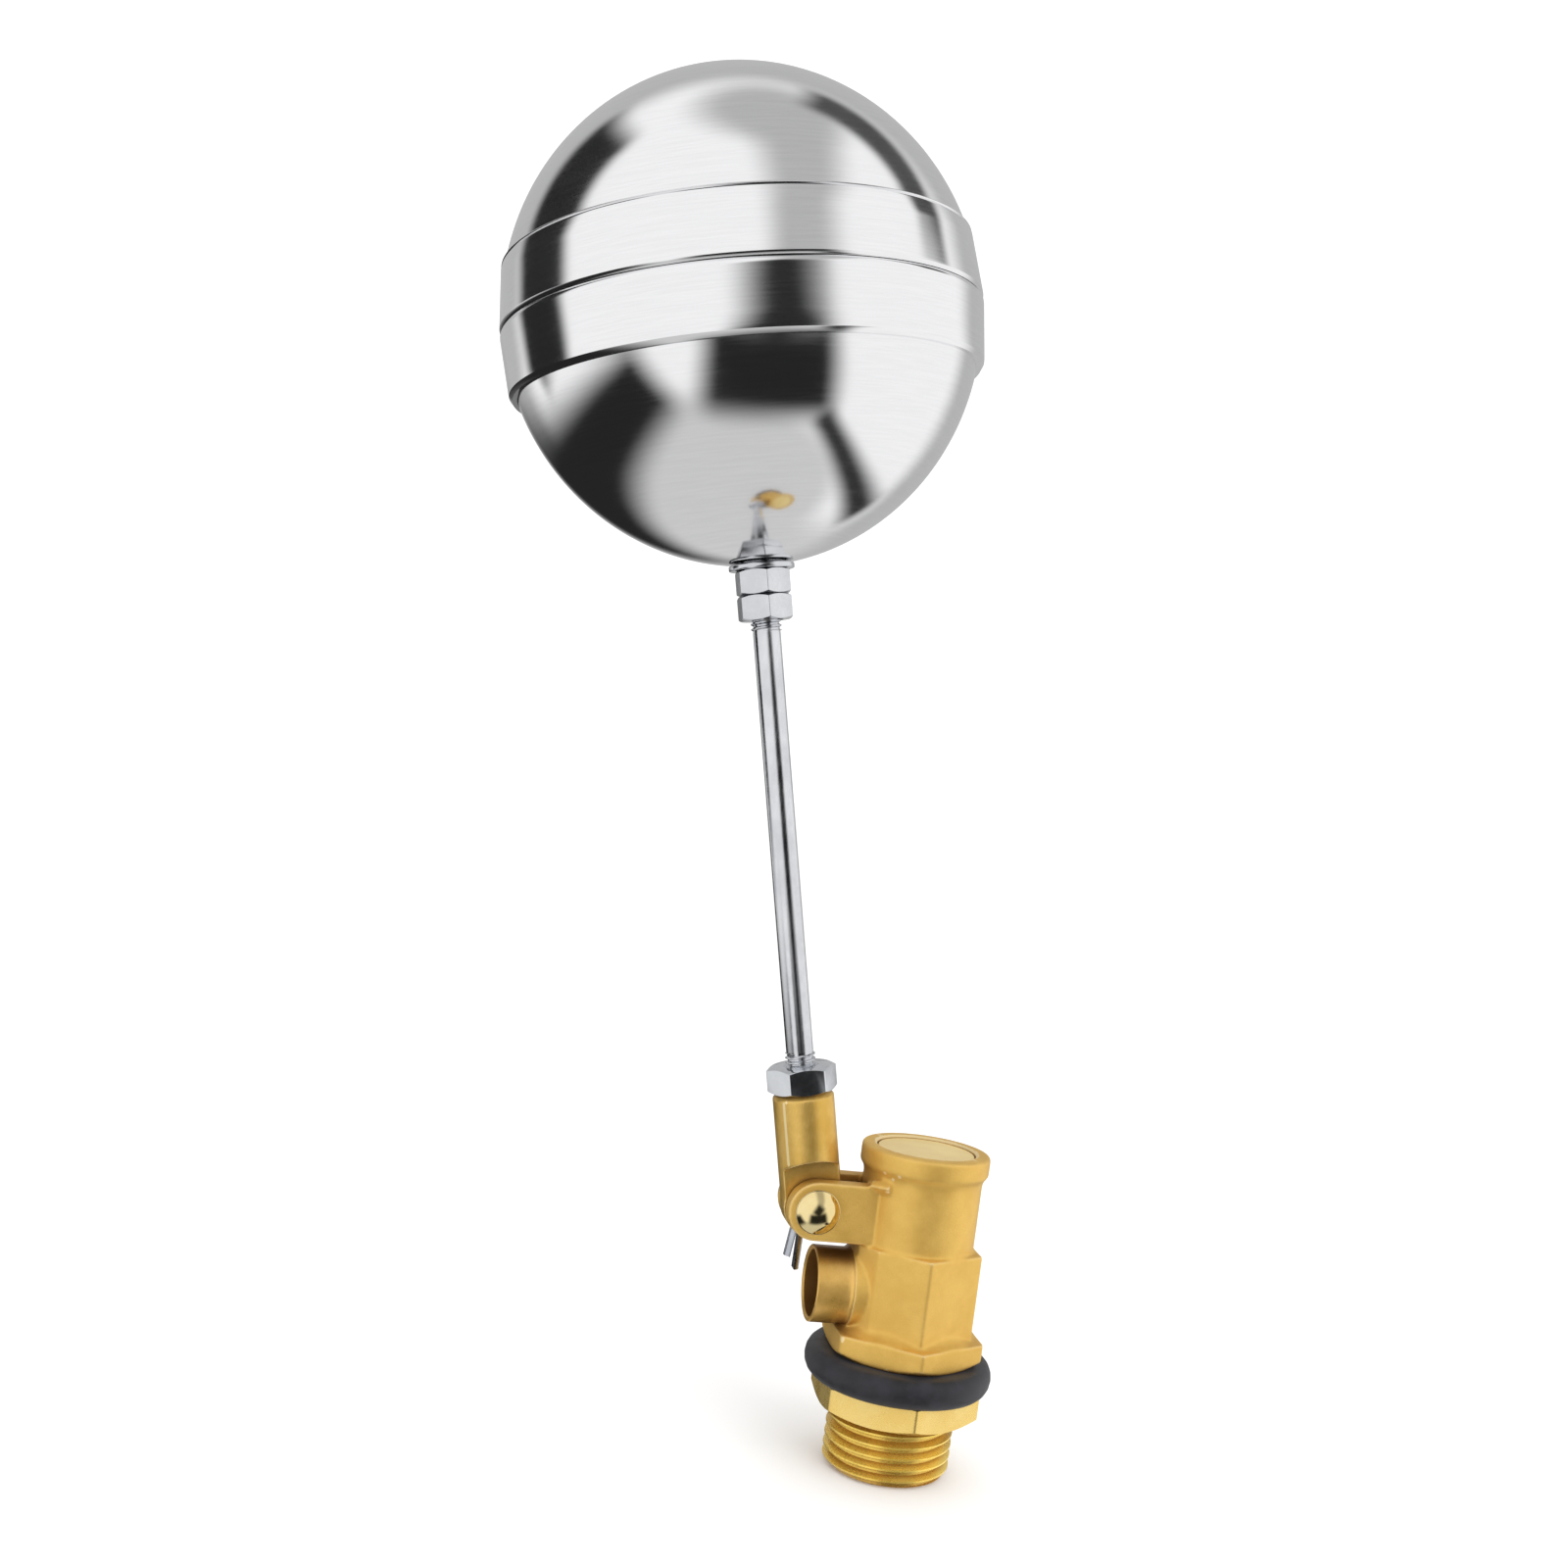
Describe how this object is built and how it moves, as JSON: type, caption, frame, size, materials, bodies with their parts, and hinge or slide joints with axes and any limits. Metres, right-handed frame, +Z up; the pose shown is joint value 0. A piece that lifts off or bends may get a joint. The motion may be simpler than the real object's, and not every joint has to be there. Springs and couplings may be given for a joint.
{
  "type": "float valve",
  "caption": "Brass float valve for a tank wall: threaded inlet with lock nut, side outlet tube, and a hollow steel float on a rod and lever that closes a piston on its seat.",
  "frame": {"origin": "centre of the inlet thread's end face, on the body's axis", "axes": "+Z up the body's axis from the inlet thread to the open end, outlet tube and clevis toward -X, pivot pin along Y"},
  "size_m": [0.1006, 0.0748, 0.2163],
  "materials": {
    "cast_brass": "satin, sand cast and tumbled",
    "turned_brass": "turned, bright",
    "polished_brass": "polished",
    "rubber": "moulded, matt",
    "plated_steel": "bright plated",
    "stainless_bright": "drawn, bright",
    "stainless_mirror": "pressed sheet, mirror polished"
  },
  "bodies": {
    "body": {"valve_body": "cast_brass", "outlet_tube": "turned_brass", "sealing_washer": "rubber", "pivot_pin": "polished_brass", "pivot_washer": "plated_steel", "split_pin": "plated_steel"},
    "nut": {"lock_nut": "turned_brass"},
    "piston": {"piston": "turned_brass", "piston_cap": "turned_brass", "seat_washer": "rubber"},
    "arm": {"lever": "cast_brass", "lever_jam_nut": "plated_steel", "float_rod": "stainless_bright", "float_nuts": "stainless_bright", "float_washer": "stainless_bright", "float_bush": "stainless_bright", "float_lower_shell": "stainless_mirror", "float_upper_shell": "stainless_mirror"}
  },
  "joints": [
    {"name": "arm_pivot", "type": "hinge", "parent": "body", "child": "arm", "pos_m": [-0.018, 0, 0.0425], "axis": [0, 1, 0], "range_deg": [0, 12.6]},
    {"name": "piston_slide", "type": "slide", "parent": "body", "child": "piston", "axis": [0, 0, -1], "range_m": [0, 0.004]},
    {"name": "nut_travel", "type": "slide", "parent": "body", "child": "nut", "axis": [0, 0, -1], "range_m": [0, 0.0095]}
  ],
  "couplings": [
    {"joint": "piston_slide", "follows": "arm_pivot", "m_per_rad": 0.018}
  ]
}
